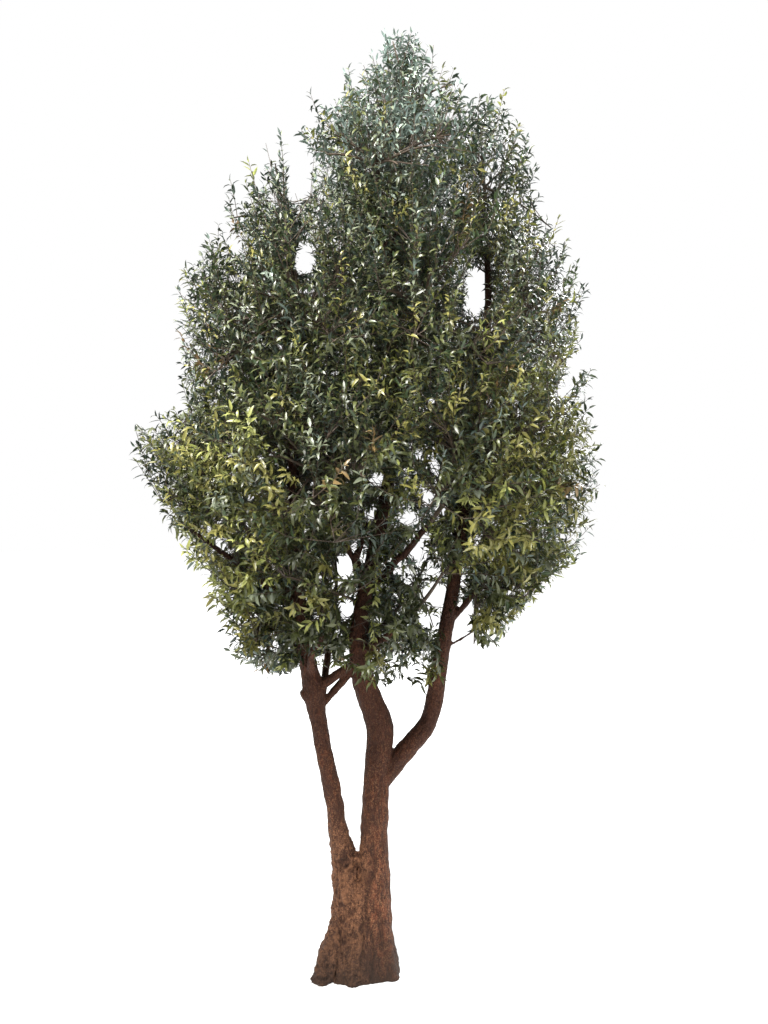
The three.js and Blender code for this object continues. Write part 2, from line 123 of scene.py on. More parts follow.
# Straight ways through the crown that stay open: [one end, other end, radius].
CLEARINGS = [
    [[311, -600, 2065], [453, 600, 2400], 34],
    [[311, -600, 2135], [453, 600, 2480], 34],
    [[-130, -600, 2176], [-254, 600, 2564], 28],
]

# ---- Finer growth ----

VIEWPOINT = np.array([75.0, -2600.0, 1530.0])

# Where the crown shows the sky from there, on its middle plane: [x, z, half width, half height, growing share].
THIN_PLACES = [
    [-54, 1352, 25, 40, 0.0], [-56, 1208, 26, 26, 0.0], [-88, 1290, 16, 24, 0.1],
    [-10, 1388, 26, 20, 0.05], [54, 1642, 17, 20, 0.0], [43, 1528, 19, 17, 0.0], [168, 1513, 19, 16, 0.0],
    [188, 1729, 10, 20, 0.0], [245, 1694, 15, 18, 0.0], [220, 1582, 17, 26, 0.05],
    [267, 1530, 15, 18, 0.0], [181, 1405, 27, 26, 0.0], [234, 1360, 40, 60, 0.35],
    [250, 1256, 48, 30, 0.0], [228, 1180, 42, 46, 0.25], [140, 1330, 36, 36, 0.4],
    [-179, 1457, 12, 20, 0.0], [-381, 1587, 14, 14, 0.0], [-480, 1427, 22, 18, 0.0],
    [645, 1479, 100, 34, 0.6], [347, 1192, 22, 44, 0.0], [-835, 1800, 62, 70, 0.0],
    [332, 1075, 52, 100, 0.0], [150, 1010, 90, 50, 0.5], [-72, 950, 50, 34, 0.0],
    [-47, 1052, 15, 22, 0.1], [-186, 2418, 18, 18, 0.1], [-640, 1280, 50, 50, 0.15],
    [-209, 2641, 46, 66, 0.1], [-412, 2600, 16, 44, 0.1], [-429, 2438, 22, 28, 0.05],
    [-318, 2775, 30, 50, 0.1], [-345, 2655, 13, 50, 0.15], [-240, 2890, 60, 60, 0.05],
    [-110, 3000, 50, 90, 0.0], [0, 3160, 70, 50, 0.0], [290, 3130, 60, 60, 0.0],
    [382, 2985, 34, 60, 0.05], [685, 1949, 26, 26, 0.1], [430, 2640, 20, 24, 0.15],
]

PLACE_EDGE = (0.85, 1.15)  # where a place starts to fade out and where it ends, as shares of its size

# The open middle between the stems, low in the crown.
OPEN_SIDES = (-250, 390)
OPEN_TOP = 1500
OPEN_FADES = (60, 240)  # at its sides and at its top
OPEN_SHARE = 0.5  # of its sprays that don't grow

# Small gaps, in a pattern of this size on the middle plane: [height, the level above which it is open].
GAP_SIZE = 46
GAP_DROP = 0.08  # how much lower that level is in the open middle
GAP_LEAF_SHARE = 0.6  # how far along a leaf the point is that mustn't be in a gap
GAP_LEVELS = [[1350, 0.42], [1700, 0.48], [2300, 0.55], [2700, 0.5], [3200, 0.44]]

# Thin places in what grows in front of the stems, so that they show.
SHOWN_LIMBS = [
    [-205, 1215, 24, 70, 0.15], [-190, 1060, 24, 40, 0.35], [-226, 1640, 18, 100, 0.2],
    [-10, 1150, 34, 110, 0.15], [20, 1330, 20, 44, 0.35], [298, 1225, 32, 115, 0.05],
    [345, 1500, 20, 90, 0.25], [360, 1228, 40, 44, 0.25], [-400, 1372, 60, 36, 0.3],
]

# The lowest that leaves are seen on the middle plane, as [x, z].
LOWEST_LEAVES = [
    [-700, 1200], [-460, 1060], [-400, 1000], [-310, 966], [-250, 976], [-210, 1012], [-150, 1000], [-60, 1008],
    [-20, 950], [60, 905], [150, 960], [225, 890], [300, 880], [325, 1080], [380, 1070], [470, 1060],
    [560, 1200], [800, 1400],
]

# How far out sprays end, as shares of the crown: [height, on the left, on the right].
END_SHARES = [
    [1000, 1.0, 0.97], [1100, 1.0, 1.0], [1200, 0.96, 0.94], [1300, 0.94, 0.93], [1450, 0.93, 1.0],
    [1600, 0.91, 1.0], [1800, 0.91, 0.97], [2000, 0.96, 0.98], [2200, 0.97, 0.96], [2450, 0.94, 0.87],
    [2570, 0.95, 0.87], [2700, 0.94, 0.93], [2800, 0.93, 0.94], [3000, 0.9, 0.91], [3150, 0.8, 0.84],
]

# The tips of the shoots that stand out of the crown, and where the shoots beside each one end.
LEADERS = [
    [-594, -20, 2330], [-520, 20, 2458], [-424, -10, 2640], [-368, 30, 2625], [-305, -20, 2712],
    [-240, 20, 2796], [-92, -10, 2972], [36, 10, 3064], [140, 0, 3130], [172, 15, 3118], [440, 10, 2910],
    [528, 20, 2850], [622, -10, 2510], [728, 10, 2370],
]
LEADER_GROUP = [[0, 0, 0], [-26, 18, -52], [24, -20, -84]]

# The tubes' first and last radius, sides and rings.
CARRIER_TUBE = ((8, 4.5), 6, 8)
TWIG_TUBE = ((4.5, 2), 5, 5)
SPRAY_TUBE = ((1.7, 0.8), 3, 2)

LIMB_COVER = 50  # in front of the middle plane, from where growth hides the stems
LUMP_HEIGHT = 0.07  # of the lumps on the crown, as a share of it
LUMP_SIZE = 200
LUMP_PLACE = Vector((-21.9, -39.5, -34.6))  # in their pattern
SPRAY_TRIES = 90000
SPRAY_SPACING = 44  # between the ends of two sprays
SPRAY_REACH = 180  # from its end back to about where it leaves its twig
SPRAY_LENGTHS = (70, 320)
SPRAY_FEET = np.linspace(0.2, 1, 8)  # along a carrier or a twig
THINNING = ([130, 400], [1, 0.22])  # depths below the outside, and the share of the sprays there
LEAFY_SHARE = 0.4  # a spray that would keep less of its leaves doesn't grow
TWIG_TOLERANCE = 0.5  # twigs give way to a thin place half as often as sprays
CLEARING_MARGIN = 6  # kept free of sprays round an open way
LEAF_OVERHANG = 6  # how far leaves may come into one
LEAF_TOLERANCE = 0.5  # and so do leaves
SPRAY_RISES = [[950, -0.7], [1300, 0.3], [2000, 0.9], [2700, 1.4], [3100, 2.4]]  # how steep, by height
SPRAY_SPREAD = 0.35  # how much their directions vary
SHOOT_HEIGHT = 2150  # above this, shoots stand up out of the crown
SHOOT_SHARE = 0.15  # of the sprays that end near its outside
SHOOT_DEPTH = 70
SHOOT_RISES = (20, 95)
SHOOT_RISE = 2  # how much steeper a shoot is than a spray
HIGHEST_END = 3120

PAIR_STEP = 15  # between two pairs of leaves
BARE_SHARE = 0.12  # of a spray's length, at its foot
LEAF_LENGTHS = (29, 44)
LEAF_SCALES = [[1000, 1.1], [1500, 1.0], [2100, 0.84]]  # how large, by height
LEAF_WIDTH = 0.28  # as a share of the leaf's length
OUTER_STATIONS = ((0.32, 1.0), (0.7, 0.74))  # along a leaf, and the share of its width there
INNER_STATIONS = ((0.46, 1.0),)
INNER_LEAVES = 115  # leaves deeper than this have the simpler shape
MOST_LEAVES = 24000  # in one piece
LEAF_FOLD = 0.35  # its edges' rise from its midrib, as a share of half its width
LEAF_BENDS = (0.2, 1.7)  # how far it turns down from root to tip, in radians
LEAF_SPREADS = (0.5, 1.25)  # its angle to the spray
TIP_SPREAD = 0.35  # that of the two leaves at the tip
TIP_SIZE = 0.75
LEAF_TURN = 0.35  # how much pairs vary in their turn round the spray
LEAF_STRAY = 0.12  # how much a leaf's direction varies
LEAF_FACING = (0.55, 0.75, 0.45)  # how much it faces along the spray, up, and any way
LEAF_LIMITS = ((-768, -690, 860), (800, 690, 3176))  # of a leaf's tip


def seeded(state):
    """The source's own random numbers."""
    while True:
        state = (state * 1664525 + 1013904223) % 2**32
        yield state / 2**32


def between(limits, share):
    return limits[0] + (limits[1] - limits[0]) * share


def unit(vectors):
    return vectors / np.maximum(np.linalg.norm(vectors, axis=-1, keepdims=True), 1e-9)


def read_off(table, at, column=1, by=0):
    """A column of a table, read where another column has this value."""
    table = np.asarray(table, float)
    return np.interp(at, table[:, by], table[:, column])


def stem_point(name, height):
    return np.array([read_off(STEMS[name], height, i, by=2) for i in range(3)])


def crown_outline(height):
    """The crown's left edge, right edge and half depth at a height."""
    return [read_off(CROWN, height, i) for i in (1, 2, 3)]


def sideways(points):
    """-1 at the crown's left edge, 0 half-way and 1 at its right edge."""
    left, right, _ = crown_outline(points[..., 2])
    return (2 * points[..., 0] - left - right) / (right - left)


def crown_share(points):
    """0 on the crown's middle line and 1 on its outside."""
    height = points[..., 2]
    share = np.hypot(sideways(points), points[..., 1] / crown_outline(height)[2])
    return np.where((height < CROWN[0, 0]) | (height > CROWN[-1, 0]), np.inf, share)


def seen_places(points):
    """Where points are seen on the tree's middle plane, as x and z."""
    nearness = VIEWPOINT[1] / (VIEWPOINT[1] - points[:, 1])
    seen = VIEWPOINT + (points - VIEWPOINT) * nearness[:, None]
    return seen[:, 0], seen[:, 2]


def oval_share(place, x, z):
    """0 in the middle of a place and 1 on its edge."""
    return np.hypot((x - place[0]) / place[2], (z - place[1]) / place[3])


def growing_share(points):
    """The share of the growth at each point, less than 1 where the sky or a limb shows."""
    x, z = seen_places(points)
    share = np.ones(len(points))
    for places, cover in ((THIN_PLACES, -np.inf), (SHOWN_LIMBS, LIMB_COVER)):
        for place in places:
            there = np.interp(oval_share(place, x, z), PLACE_EDGE, [place[4], 1])
            share = np.where(points[:, 1] < -cover, np.minimum(share, there), share)
    share[z < read_off(LOWEST_LEAVES, x)] = 0
    return share


def open_middle(x, z):
    """1 between the stems low in the crown, where it is sparse, and 0 in the rest of it."""
    side, top = OPEN_FADES
    from_sides = np.clip((x - OPEN_SIDES[0]) / side, 0, 1) * np.clip((OPEN_SIDES[1] - x) / side, 0, 1)
    return np.clip((OPEN_TOP - z) / top, 0, 1) * from_sides


def in_small_gap(points):
    """Whether each of the points is seen in one of the small gaps."""
    x, z = seen_places(points)
    pattern = np.array([noise.noise(Vector((a, 0, b))) for a, b in zip(x / GAP_SIZE, z / GAP_SIZE)])
    return pattern > read_off(GAP_LEVELS, z) - GAP_DROP * open_middle(x, z)


def in_clearing(points, margin=0):
    """Whether each of the points is in one of the open ways."""
    found = np.zeros(points.shape[:-1], bool)
    for start, end, radius in CLEARINGS:
        start, end = np.array(start, float), np.array(end, float)
        along = unit(end - start)
        offset = points - start
        away = offset - (offset @ along)[..., None] * along
        found |= np.linalg.norm(away, axis=-1) < radius + margin
    return found


class Mass:
    """One mass of the crown, with its twigs and its bough."""

    def __init__(self, ring, sector, seed):
        height, axis, (left, right, depth), size, self.leaf, self.twigs, _ = ring
        bearing, lift, self.stem, foot_height = sector
        angle = math.radians(bearing)
        out = np.array([math.cos(angle), math.sin(angle), 0])
        self.seed = seed
        self.size = np.array(size, float)
        side = left if out[0] < 0 else right
        reach = 1 / math.hypot(out[0] / side, out[1] / depth) if side else self.size[0]
        self.centre = np.array([axis, 0, height + lift]) + out * (reach - self.size[0])
        self.axes = np.array([out, np.cross(UP, out), UP])
        self.foot = stem_point(self.stem, foot_height)
        self.on_tip = foot_height == STEMS[self.stem][-1][2]

    def find_borders(self, masses):
        """The planes half-way between this mass and each of the others."""
        others = np.array([mass.centre for mass in masses if mass is not self])
        self.normals = unit(others - self.centre)
        self.offsets = np.sum((others + self.centre) / 2 * self.normals, axis=1) - SPACE_MARGIN

    def holds(self, point, margin=0):
        within = np.all(self.normals @ point <= self.offsets - margin)
        return within and crown_share(point) <= 1 and not in_clearing(point)

    def seat_bough(self):
        deepest = BOUGH_END / np.linalg.norm(self.axes @ (self.foot - self.centre) / self.size)
        share = min(1, deepest)
        while share > 0:
            self.entry = self.centre + (self.foot - self.centre) * share
            if self.holds(self.entry, ENTRY_MARGIN):
                break
            share -= BOUGH_STEP
        self.on_bough = np.linalg.norm(self.entry - self.foot) > SHORTEST_BOUGH

    def outer_reach(self, direction):
        inside, outside = 0, CROWN[-1, 0]
        for _ in range(HALVINGS):
            middle = (inside + outside) / 2
            if crown_share(self.centre + direction * middle) <= 1:
                inside = middle
            else:
                outside = middle
        return inside

    def border_reach(self, direction):
        facing = self.normals @ direction
        room = self.offsets - self.normals @ self.centre
        return np.min(room[facing > 0] / facing[facing > 0], initial=np.inf)

    def aim(self, index):
        """One of the evenly spread directions from the middle to the outside."""
        height = 1 - 2 * (index + 0.5) / self.twigs
        bearing = index * GOLDEN_ANGLE + self.seed
        level = math.sqrt(1 - height * height)
        shares = np.array([math.cos(bearing) * level, math.sin(bearing) * level, height])
        return unit((shares * self.size) @ self.axes)

    def carrier(self):
        """The curve that runs on from the bough's or the stem's tip, or from the stem's side."""
        start = self.entry if self.on_bough else self.foot
        heading = unit(self.centre - start)
        if self.on_bough:
            bough = self.entry - self.foot
            heading = unit(bough / 2 + UP * BOUGH_SAG * np.linalg.norm(bough))
        if self.on_tip:
            before, tip = np.array(STEMS[self.stem][-2:], float)[:, :3]
            heading = unit(tip - before)
        if self.on_bough or self.on_tip:
            start = start + heading * JOINT_GAP
        end = self.centre + self.axes[0] * self.size[0] * CARRIER_OUT + UP * self.size[2] * CARRIER_UP
        return np.array([start, start + heading * np.linalg.norm(end - start) / 2, end])

    def twig(self, carrier, index):
        """The twig with this number, or None where a border or an open way cuts it short."""
        chance = seeded(self.seed * self.twigs + index)
        direction = self.aim(index)
        root = on_curve(carrier, between(TWIG_ROOTS, next(chance)))
        outer, border = self.outer_reach(direction), self.border_reach(direction)
        run = self.centre + direction * min(outer, border) - root
        room = np.linalg.norm(run) - self.leaf * between(TWIG_DEPTHS, next(chance))
        run = unit(run) * max(room, SHORTEST_TWIG)
        middle = root + run / 2 + UP * TWIG_LIFT * np.linalg.norm(run)
        curve = np.array([root, middle, root + run])
        if CUT_SHARE * outer > border or not self.holds(curve[2]) or not self.holds(on_curve(curve, 0.5)):
            return None
        return curve


def curve_parts(curves, shares):
    """The three points of quadratic Bezier curves, and shares of their length."""
    return [*np.moveaxis(curves, -2, 0), np.asarray(shares, float)[..., None]]


def on_curve(curves, shares):
    """Points on the curves."""
    start, middle, end, shares = curve_parts(curves, shares)
    return start * (1 - shares) ** 2 + middle * 2 * shares * (1 - shares) + end * shares**2


def along_curve(curves, shares):
    """The directions that the curves run in."""
    start, middle, end, shares = curve_parts(curves, shares)
    return unit((middle - start) * (1 - shares) + (end - middle) * shares)


def side_of(directions):
    """A level direction square to each of the directions."""
    side = np.cross(UP, directions)
    side[np.linalg.norm(side, axis=-1) < 1e-3] = (1, 0, 0)
    return unit(side)


# ---- Sprays ----

def spread_out(points, spacing):
    """Those of the points, in order, that come no nearer than spacing to one taken before."""
    taken = {}
    kept = []
    nearby = [(i, j, k) for i in (-1, 0, 1) for j in (-1, 0, 1) for k in (-1, 0, 1)]
    for number, (point, cell) in enumerate(zip(points.tolist(), (points // spacing).astype(int).tolist())):
        around = [taken.get((cell[0] + i, cell[1] + j, cell[2] + k), ()) for i, j, k in nearby]
        if any(math.dist(point, other) < spacing for group in around for other in group):
            continue
        taken.setdefault(tuple(cell), []).append(point)
        kept.append(number)
    return points[kept]


def crown_depth(points):
    """How far each point is below the crown's outside, level with it."""
    left, right, depth = crown_outline(points[:, 2])
    return (1 - crown_share(points)) * np.minimum((right - left) / 2, depth)


def leafiness(points):
    """The share of the sprays that end near each point: most under the outside, few in the open middle."""
    share = np.interp(crown_depth(points), *THINNING)
    return share * (1 - OPEN_SHARE * open_middle(*seen_places(points))) * growing_share(points)


def end_share(points):
    """How far out sprays may end at each point's height and side."""
    on_sides = [read_off(END_SHARES, points[:, 2], i) for i in (1, 2)]
    return between(on_sides, np.clip(sideways(points) / 2 + 0.5, 0, 1))


def spray_headings(ends, chance):
    """The way each spray points: out of the crown, more upright the higher it is."""
    depth = crown_outline(ends[:, 2])[2]
    out = np.stack([sideways(ends), ends[:, 1] / depth, 0 * depth], axis=1)
    rise = read_off(SPRAY_RISES, ends[:, 2])
    return unit(out + rise[:, None] * UP + chance.normal(0, SPRAY_SPREAD, ends.shape))


def grow_sprays(wood_points, chance):
    """The curves of all sprays, each from the nearest wood to its end."""
    low = [CROWN[:, 1].min(), -CROWN[:, 3].max(), CROWN[0, 0]]
    high = [CROWN[:, 2].max(), CROWN[:, 3].max(), CROWN[-1, 0]]
    tries = chance.uniform(low, high, (SPRAY_TRIES, 3))
    tries = tries[(crown_share(tries) <= 1) & ~in_clearing(tries, CLEARING_MARGIN)]
    lumps = np.array([noise.noise(Vector(point / LUMP_SIZE) + LUMP_PLACE) for point in tries])
    tries = tries[crown_share(tries) + lumps * LUMP_HEIGHT <= end_share(tries)]
    tries = tries[chance.random(len(tries)) < leafiness(tries)]
    ends = spread_out(tries, SPRAY_SPACING)
    shoots = (ends[:, 2] > SHOOT_HEIGHT) & (crown_depth(ends) < SHOOT_DEPTH)
    shoots &= chance.random(len(ends)) < SHOOT_SHARE
    headings = spray_headings(ends, chance)
    headings[shoots] = unit(headings[shoots] + SHOOT_RISE * UP)
    ends[shoots] += between(SHOOT_RISES, chance.random((shoots.sum(), 1))) * UP
    ends[:, 2] = np.minimum(ends[:, 2], HIGHEST_END)
    leaders = (np.array(LEADERS, float)[:, None] + np.array(LEADER_GROUP)).reshape(-1, 3)
    ends = np.concatenate([ends, leaders])
    headings = np.concatenate([headings, unit(spray_headings(leaders, chance) + SHOOT_RISE * UP)])
    tree = KDTree(len(wood_points))
    for number, point in enumerate(wood_points):
        tree.insert(point, number)
    tree.balance()
    feet = np.array([tree.find(end - heading * SPRAY_REACH)[0] for end, heading in zip(ends, headings)])
    lengths = np.linalg.norm(ends - feet, axis=1)
    curves = np.stack([feet, ends - headings * lengths[:, None] / 2, ends], axis=1)
    fitting = (lengths > SPRAY_LENGTHS[0]) & (lengths < SPRAY_LENGTHS[1])
    return clear_of_ways(curves[fitting], chance, 1)


def clear_of_ways(curves, chance, tolerance):
    """Those of the curves that cross none of the open ways, and few of the thin places."""
    blocked = np.zeros(len(curves), bool)
    drawn = chance.random(len(curves)) * tolerance
    for share in np.linspace(0, 1, 17):
        points = on_curve(curves, share)
        blocked |= in_clearing(points, CLEARING_MARGIN)
        blocked |= (crown_share(points) <= 1) & (growing_share(points) < drawn)
    return curves[~blocked]


def picked(leaves, rows):
    return {name: values[rows] for name, values in leaves.items()}


def grow_leaves(sprays, chance):
    """The sprays that carry leaves, and their leaves."""
    lengths = np.linalg.norm(sprays[:, 2] - sprays[:, 0], axis=1)
    counts = np.maximum((lengths * (1 - BARE_SHARE) / PAIR_STEP).astype(int), 2)
    spray = np.repeat(np.arange(len(sprays)), counts * 2)
    order = np.concatenate([np.arange(count * 2) for count in counts])
    pair, second = order // 2, order % 2
    total = len(spray)
    share = np.clip(1 - pair * PAIR_STEP / lengths[spray], 0, 1)
    root = on_curve(sprays[spray], share)
    along = along_curve(sprays[spray], share)
    side = side_of(along)
    third = np.cross(along, side)
    turn = (pair * math.pi / 2 + second * math.pi + chance.normal(0, LEAF_TURN, total))[:, None]
    aside = side * np.cos(turn) + third * np.sin(turn)
    spread = np.where(pair == 0, TIP_SPREAD, between(LEAF_SPREADS, chance.random(total)))[:, None]
    heading = unit(along * np.cos(spread) + aside * np.sin(spread) + chance.normal(0, LEAF_STRAY, (total, 3)))
    facing = along * LEAF_FACING[0] + UP * LEAF_FACING[1] + chance.normal(0, LEAF_FACING[2], (total, 3))
    face = unit(facing - heading * np.sum(facing * heading, axis=1, keepdims=True))
    size = between(LEAF_LENGTHS, chance.random(total)) * np.where(pair == 0, TIP_SIZE, 1)
    size *= read_off(LEAF_SCALES, root[:, 2])
    bend = between(LEAF_BENDS, chance.random(total))
    leaves = {"root": root, "heading": heading, "face": face, "size": size, "bend": bend}
    tip = root + heading * size[:, None]
    low, high = LEAF_LIMITS
    kept = np.all((tip > low) & (tip < high), axis=1) & ~in_clearing(tip, -LEAF_OVERHANG)
    kept &= chance.random(total) * LEAF_TOLERANCE < np.minimum(growing_share(tip), growing_share(root))
    kept &= ~in_small_gap(root + heading * size[:, None] * GAP_LEAF_SHARE)
    leafy = np.bincount(spray[kept], minlength=len(sprays)) >= LEAFY_SHARE * counts * 2
    kept &= leafy[spray]
    leaves["spray"] = (np.cumsum(leafy) - 1)[spray]
    return sprays[leafy], picked(leaves, kept)


# ---- Meshes ----

def linked(name, data):
    """A new object in the scene."""
    made = bpy.data.objects.new(name, data)
    bpy.context.collection.objects.link(made)
    return made


def mesh_object(name, parts):
    """An object of parts: points in millimetres, arrays of faces, and the points' places on a leaf."""
    groups = []
    count = 0
    for points, faces, _ in parts:
        groups += [group + count for group in faces]
        count += len(points)
    corners = np.concatenate([np.ravel(group) for group in groups]).astype(np.int32)
    sizes = np.concatenate([np.full(len(group), group.shape[1]) for group in groups]).astype(np.int32)
    mesh = bpy.data.meshes.new(name)
    mesh.vertices.add(count)
    points = np.concatenate([part[0] for part in parts]) * METRE
    mesh.vertices.foreach_set("co", np.ravel(points).astype(np.float32))
    mesh.loops.add(len(corners))
    mesh.loops.foreach_set("vertex_index", corners)
    mesh.polygons.add(len(sizes))
    mesh.polygons.foreach_set("loop_start", np.concatenate([[0], np.cumsum(sizes)[:-1]]).astype(np.int32))
    mesh.polygons.foreach_set("use_smooth", np.ones(len(sizes), bool))
    if parts[0][2] is not None:
        uv = np.concatenate([part[2] for part in parts])
        mesh.uv_layers.new(name="leaf").data.foreach_set("uv", np.ravel(uv[corners]).astype(np.float32))
    mesh.update(calc_edges=True)
    return linked(name, mesh)


def leaf_shapes(leaves, stations):
    """Folded lance shapes with these stations, bent down, as a part of a mesh."""
    shares, sides = [0], [0]
    for share, width in stations:
        shares += [share] * 3
        sides += [-width, 0, width]
    shares, sides = np.array(shares + [1]), np.array(sides + [0])
    bend = leaves["bend"][:, None]
    forward = np.sin(bend * shares) / bend
    drop = (1 - np.cos(bend * shares)) / bend
    half = LEAF_WIDTH / 2 * sides
    rise = LEAF_FOLD * np.abs(half)
    across = np.cross(leaves["face"], leaves["heading"])
    size = leaves["size"][:, None, None]
    points = leaves["root"][:, None] + size * (
        leaves["heading"][:, None] * forward[..., None]
        + leaves["face"][:, None] * (rise - drop)[..., None]
        + across[:, None] * half[:, None]
    )
    tip = len(shares) - 1
    triangles = np.array([[0, 2, 1], [0, 3, 2], [tip - 3, tip - 2, tip], [tip - 2, tip - 1, tip]])
    rows = range(1, tip - 3, 3)
    quads = np.array([[k, k + 1, k + 4, k + 3] for row in rows for k in (row, row + 1)], int).reshape(-1, 4)
    first = (np.arange(len(bend)) * len(shares))[:, None, None]
    uv = np.tile(np.stack([sides / 2 + 0.5, shares], axis=1), (len(bend), 1))
    return points.reshape(-1, 3), [(first + triangles).reshape(-1, 3), (first + quads).reshape(-1, 4)], uv


def leaf_mesh(name, leaves):
    """Leaves of one colour, of a simpler shape deep in the crown."""
    inner = crown_depth(leaves["root"]) > INNER_LEAVES
    shapes = ((~inner, OUTER_STATIONS), (inner, INNER_STATIONS))
    return mesh_object(name, [leaf_shapes(picked(leaves, rows), stations) for rows, stations in shapes])


def circle(across, third, sides):
    """Directions all round, in the planes of two directions."""
    angles = np.arange(sides) * 2 * math.pi / sides
    return across[..., None, :] * np.cos(angles)[:, None] + third[..., None, :] * np.sin(angles)[:, None]


def tubes(curves, radii, sides, rings):
    """Open tubes round the curves, as a part of a mesh."""
    shares = np.linspace(0, 1, rings + 1)
    along = along_curve(curves[:, None], shares)
    side = side_of(along)
    ring = circle(side, np.cross(along, side), sides)
    points = on_curve(curves[:, None], shares)[:, :, None] + ring * between(radii, shares)[:, None, None]
    corner = np.arange(sides)
    following = (corner + 1) % sides
    quad = np.stack([corner, following, following + sides, corner + sides], axis=1)
    start = np.arange(len(curves))[:, None] * (rings + 1) * sides + np.arange(rings) * sides
    return points.reshape(-1, 3), [(start[..., None, None] + quad).reshape(-1, 4)], None


# ---- Bark ----

BARK_VOXEL = 0.0032
BARK_SMOOTHINGS = 7
SMOOTHING = 0.5
SMOOTHING_LOSS = 1.3  # by how much the smoothing thins a limb
BARK_FACES = 185000  # triangles at most
FINE_HEIGHT = 1.2  # metres, above which leaves hide the skin and it is much coarser
FINE_COARSENING = 0.15  # how freely it is made coarser below that
TRUNK_DEPTH = 60  # below the ground, where the skin is cut off level
STEM_STEP = 30  # between two rings round a stem
STEM_SIDES = 32
FLARE_HEIGHT = 230
FLARE_LOBES = 5
FLARE_DEPTH = 0.07
FLARE_TWIST = 90  # up which the lobes turn by a radian
WAIST = [0, 110, 240, 400]  # heights of the trunk's waist
WAIST_DEPTH = 9
BOUGH_RADII = (15, 8)
BOUGH_WANDER = 20  # how far a bough strays from its curve
WANDER_SIZE = 70  # over about what distance
LIMB_RINGS = 9  # round a bough or a small limb
LIMB_SIDES = 12

# Small limbs, roots and knobs on the stems, as [start, middle, end, first radius, last radius].
SMALL_LIMBS = [
    [[-142, -12, 942], [-85, -18, 985], [-14, -6, 1024], 16, 12],
    [[-146, -8, 868], [-92, 4, 925], [-22, 4, 1012], 12, 11],
    [[-168, -14, 905], [-186, -20, 922], [-192, -24, 934], 26, 14],
    [[-200, -28, 1090], [-222, -40, 1116], [-232, -50, 1130], 14, 9],
    [[-62, 0, 350], [-22, 0, 370], [18, 0, 354], 17, 17],
    [[-6, -6, 1290], [-14, -30, 1345], [-20, -46, 1372], 14, 12],
    [[-20, -46, 1372], [-46, -60, 1400], [-84, -90, 1490], 10, 5],
    [[-20, -46, 1372], [8, -60, 1410], [16, -80, 1500], 9, 5],
    [[300, 44, 1075], [330, 20, 1090], [378, 0, 1130], 5, 3],
    [[306, 40, 1165], [345, 22, 1205], [405, 5, 1290], 12, 6],
    [[-206, -34, 1215], [-330, -110, 1310], [-540, -170, 1480], 13, 5],
    [[-50, -18, 270], [-90, -56, 90], [-150, -98, -90], 12, 44],
    [[-4, -22, 290], [-12, -66, 90], [-28, -104, -90], 12, 38],
    [[50, -18, 280], [78, -46, 90], [118, -84, -90], 12, 34],
    [[50, 6, 270], [78, 14, 90], [114, 24, -90], 10, 30],
    [[44, 22, 290], [68, 60, 90], [104, 120, -90], 12, 38],
    [[0, 20, 280], [6, 74, 90], [14, 130, -90], 12, 38],
    [[-50, 20, 270], [-84, 58, 90], [-130, 114, -90], 12, 42],
    [[-52, 2, 280], [-96, 8, 90], [-146, 16, -90], 12, 34],
]

# Patterns of the bark's relief: height in metres, repeats in a metre across, along for one across, winding.
SWELLING = (0.0055, 11, 0.8, 0)
BUMPS = (0.0035, 27, 1, 0)
LUMPS = (0.0085, 20, 0.7, 0.5)
GRAIN = (0.0014, 150, 0.45, 0)
FLUTES = (0.0026, 30, 0.22, 0.8)
FOLDS = (0.0066, 56, 0.7, 1.7)
WRINKLES = (0.0027, 115, 1, 2.5)
WINDINGS = 11  # a metre
RIDGE_STEEPNESS = 3.2
THIN_HEIGHT = 1.45  # metres, below which the relief grows to its full height
LEAST_RELIEF = 0.25
SEAM = (0.03, 0.016, 21)  # below the fork: its x, and how far and how fast it winds
CREASE = (0.0042, 0.0065)  # its depth and half width
FRONT = 0.02  # how far in front it has its full depth
FOLDED_HEIGHT = 0.5  # the trunk is folded up to here, on the seam's left
FOLD_FADES = (0.14, 0.03)  # upwards and towards the seam
RELIEF_RANGE = 0.0055  # the relief at which a hollow's painted shade or a ridge's painted highlight is full in the bark's colour


def stem_line(name):
    """Points along a stem, on a centripetal Catmull-Rom curve, and their radii."""
    stations = np.array(STEMS[name], float)
    ends = [2 * stations[0] - stations[1], 2 * stations[-1] - stations[-2]]
    padded = np.vstack([ends[:1], stations, ends[1:]])[:, :3]
    knots = np.sqrt(np.linalg.norm(np.diff(padded, axis=0), axis=1))
    points, radii = [], []
    for span in range(len(stations) - 1):
        before, first, last, after = padded[span : span + 4]
        gaps = knots[span : span + 3]
        leaving = (first - before) / gaps[0] - (last - before) / (gaps[0] + gaps[1]) + (last - first) / gaps[1]
        arriving = (last - first) / gaps[1] - (after - first) / (gaps[1] + gaps[2]) + (after - last) / gaps[2]
        leaving, arriving = leaving * gaps[1], arriving * gaps[1]
        steps = max(2, round(np.linalg.norm(last - first) / STEM_STEP))
        for share in np.arange(steps) / steps:
            square, cube = share**2, share**3
            point = first * (2 * cube - 3 * square + 1) + last * (3 * square - 2 * cube)
            points.append(point + leaving * (cube - 2 * square + share) + arriving * (cube - square))
            radii.append(between(stations[span : span + 2, 3], share))
    return np.array(points + [stations[-1, :3]]), np.array(radii + [stations[-1, 3]])


